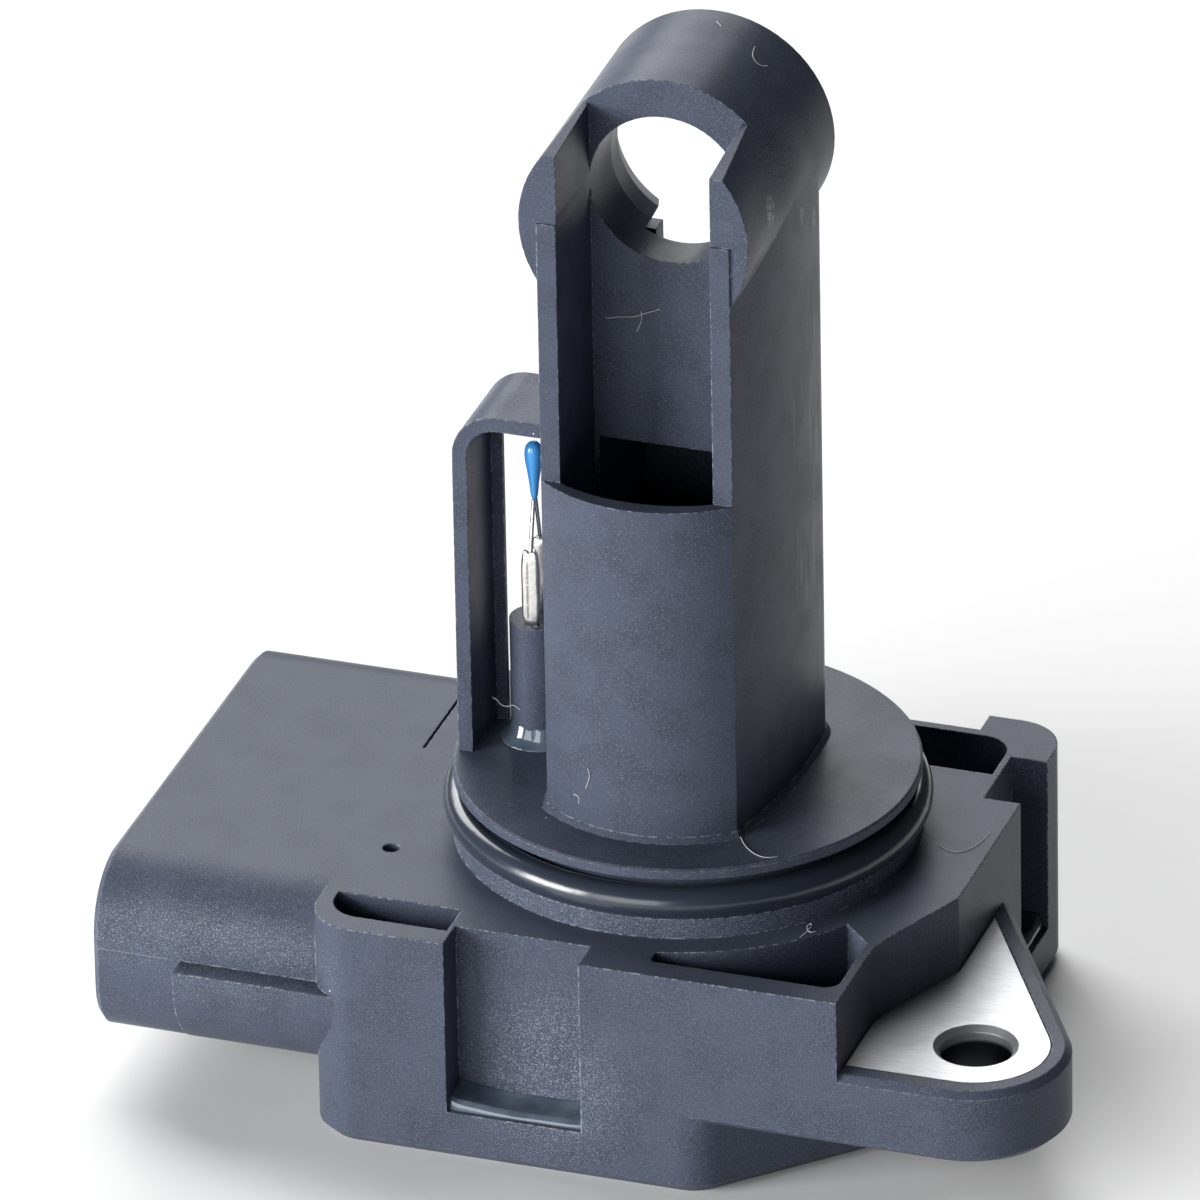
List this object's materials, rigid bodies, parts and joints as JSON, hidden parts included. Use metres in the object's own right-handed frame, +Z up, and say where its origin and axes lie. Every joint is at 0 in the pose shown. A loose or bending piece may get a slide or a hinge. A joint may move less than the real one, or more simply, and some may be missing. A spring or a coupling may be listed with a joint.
{
  "type": "mass airflow sensor",
  "caption": "Plug-in airflow sensor: slotted probe column with a measuring ring and thermistor hoop on a sealed spigot, boxed housing with connector socket and screw lugs.",
  "frame": {"origin": "centre of the spigot, level with the housing's top face", "axes": "+Z up the probe out of the housing, -X out of the connector socket, -Y towards the inlet trough's side"},
  "size_m": [0.0574, 0.044, 0.063],
  "materials": {
    "housing_plastic": "satin, with a fine glass-fibre speckle",
    "probe_plastic": "smooth satin",
    "seal_rubber": "glossy, oiled",
    "plate_metal": "fine stamped, slightly dulled",
    "cover_plastic": "satin",
    "sealant": "glossy, slightly cloudy",
    "board_laminate": "satin solder mask",
    "chip_plastic": "matt",
    "capacitor_body": "satin ceramic",
    "element_coating": "glazed",
    "bead_coating": "glossy",
    "tinned_metal": "tinned, bright"
  },
  "bodies": {
    "root": {"bottom_cover": "cover_plastic", "bypass_probe": "probe_plastic", "capacitor_1": "capacitor_body", "capacitor_2": "capacitor_body", "capacitor_3": "capacitor_body", "capacitor_4": "capacitor_body", "circuit_board": "board_laminate", "cold_wire_element": "element_coating", "connector_pin_1": "tinned_metal", "connector_pin_2": "tinned_metal", "connector_pin_3": "tinned_metal", "connector_pin_4": "tinned_metal", "connector_pin_5": "tinned_metal", "control_chip": "chip_plastic", "cover_sealant": "sealant", "element_pin_1": "tinned_metal", "element_pin_2": "tinned_metal", "element_pin_3": "tinned_metal", "element_pin_4": "tinned_metal", "front_lug_plate": "plate_metal", "front_recess_sealant": "sealant", "holder_sealant": "sealant", "hot_wire_element": "element_coating", "housing": "housing_plastic", "rear_lug_plate": "plate_metal", "seal_ring": "seal_rubber", "side_recess_sealant": "sealant", "thermistor_bead": "bead_coating", "thermistor_holder": "probe_plastic", "thermistor_lead_1": "tinned_metal", "thermistor_lead_2": "tinned_metal", "thermistor_terminal_1": "tinned_metal", "thermistor_terminal_2": "tinned_metal"}
  },
  "joints": []
}
